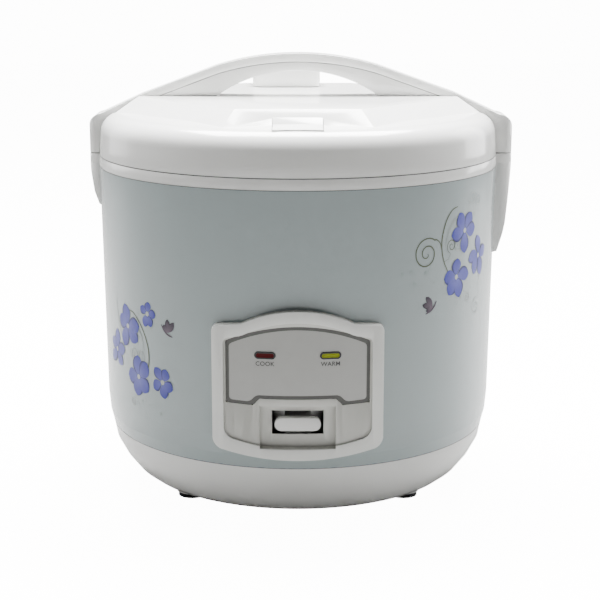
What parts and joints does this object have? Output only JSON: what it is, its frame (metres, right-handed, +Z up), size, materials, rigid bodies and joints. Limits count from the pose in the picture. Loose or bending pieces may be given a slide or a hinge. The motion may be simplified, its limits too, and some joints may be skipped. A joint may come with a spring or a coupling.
{
  "type": "rice cooker",
  "caption": "Round electric rice cooker with hinged domed lid, fixed carrying arch, steam cap, front switch panel with indicator lights and printed shell.",
  "frame": {"origin": "on the body's axis, on the surface the feet stand on", "axes": "+Z up, -Y towards the front panel, +X to the right as seen from the front"},
  "size_m": [0.279, 0.2776, 0.29],
  "materials": {
    "shell_paint": "gloss, pale blue-grey with printed flowers",
    "white_plastic": "gloss",
    "plated_steel": "zinc plated",
    "screw_steel": "satin",
    "rubber": "matte",
    "liner_aluminium": "satin",
    "pot_coating": "non-stick, satin",
    "cast_aluminium": "cast, turned top",
    "ferrite": "matte",
    "black_plastic": "satin",
    "wire_sleeve": "satin",
    "silver_plate": "silver, fine satin",
    "red_lens": "clear tinted",
    "yellow_lens": "clear tinted",
    "board_green": "satin",
    "lamp_glass": "clear",
    "pin_brass": "satin",
    "clear_plastic": "clear",
    "silicone": "satin"
  },
  "bodies": {
    "cooker_body": {"base": "white_plastic", "bottom_cover": "plated_steel", "cook_lens": "red_lens", "cover_screws": "screw_steel", "foot_1": "rubber", "foot_2": "rubber", "foot_3": "rubber", "foot_4": "rubber", "heating_element": "plated_steel", "heating_plate": "cast_aluminium", "hinge_bracket": "plated_steel", "hinge_cover": "white_plastic", "hinge_pin": "screw_steel", "hinge_springs": "screw_steel", "indicator_board": "board_green", "indicator_lamps": "lamp_glass", "inlet_pins": "pin_brass", "inlet_screws": "screw_steel", "inner_liner": "liner_aluminium", "inner_pot": "pot_coating", "left_ear": "white_plastic", "lever_bracket": "plated_steel", "lever_pin": "screw_steel", "lever_spring": "screw_steel", "mains_wires": "wire_sleeve", "micro_switch": "black_plastic", "outer_shell": "shell_paint", "panel_bezel": "white_plastic", "panel_plate": "silver_plate", "panel_screws": "screw_steel", "plate_legs": "plated_steel", "power_inlet": "black_plastic", "right_ear": "white_plastic", "rim_ring": "white_plastic", "sensor_spring": "screw_steel", "side_heater": "liner_aluminium", "support_posts": "plated_steel", "thermal_fuse": "plated_steel", "warm_lens": "yellow_lens"},
    "lid": {"lid_top": "white_plastic", "lid_lining": "white_plastic", "inner_lid": "liner_aluminium", "inner_lid_seal": "silicone", "inner_lid_knob": "silicone", "vent_seat": "silicone", "button_springs": "screw_steel", "latch_pin": "screw_steel", "handle_cover": "white_plastic", "handle_shell": "white_plastic", "handle_screws": "screw_steel"},
    "vent_cap": {"vent_cap": "white_plastic"},
    "release_button": {"release_button": "white_plastic"},
    "latch_hook": {"latch_hook": "white_plastic"},
    "cook_lever": {"cook_lever": "white_plastic"},
    "trip_magnet": {"moving_magnet": "ferrite", "magnet_rod": "screw_steel"},
    "pot_sensor": {"sensor_cup": "liner_aluminium", "fixed_magnet": "ferrite"},
    "condensation_cup": {"condensation_cup": "clear_plastic"}
  },
  "joints": [
    {"name": "lid_hinge", "type": "hinge", "parent": "cooker_body", "child": "lid", "pos_m": [0, 0.134, 0.228], "axis": [-1, 0, 0], "range_deg": [0, 85]},
    {"name": "vent_cap_lift", "type": "slide", "parent": "lid", "child": "vent_cap", "axis": [0, 0, 1], "range_m": [0, 0.025]},
    {"name": "release_press", "type": "slide", "parent": "lid", "child": "release_button", "axis": [0, 0, -1], "range_m": [0, 0.0025], "stiffness_N_per_m": 400, "springref_m": -0.001, "deforming": ["button_springs"]},
    {"name": "latch_turn", "type": "hinge", "parent": "lid", "child": "latch_hook", "pos_m": [0, -0.117, 0.2395], "axis": [-1, 0, 0], "range_deg": [0, 8]},
    {"name": "cook_lever_press", "type": "hinge", "parent": "cooker_body", "child": "cook_lever", "pos_m": [0, -0.07, 0.04], "axis": [1, 0, 0], "range_deg": [0, 5.4]},
    {"name": "magnet_travel", "type": "slide", "parent": "cooker_body", "child": "trip_magnet", "axis": [0, 0, 1], "range_m": [0, 0.007]},
    {"name": "sensor_press", "type": "slide", "parent": "cooker_body", "child": "pot_sensor", "axis": [0, 0, 1], "range_m": [-0.002, 0], "stiffness_N_per_m": 600, "springref_m": 0.002, "deforming": ["sensor_spring"]},
    {"name": "cup_pull", "type": "slide", "parent": "cooker_body", "child": "condensation_cup", "axis": [0, 1, 0], "range_m": [0, 0.03]}
  ],
  "couplings": [
    {"joint": "latch_turn", "follows": "release_press", "rad_per_m": 55.152},
    {"joint": "magnet_travel", "follows": "cook_lever_press", "m_per_rad": 0.07}
  ]
}
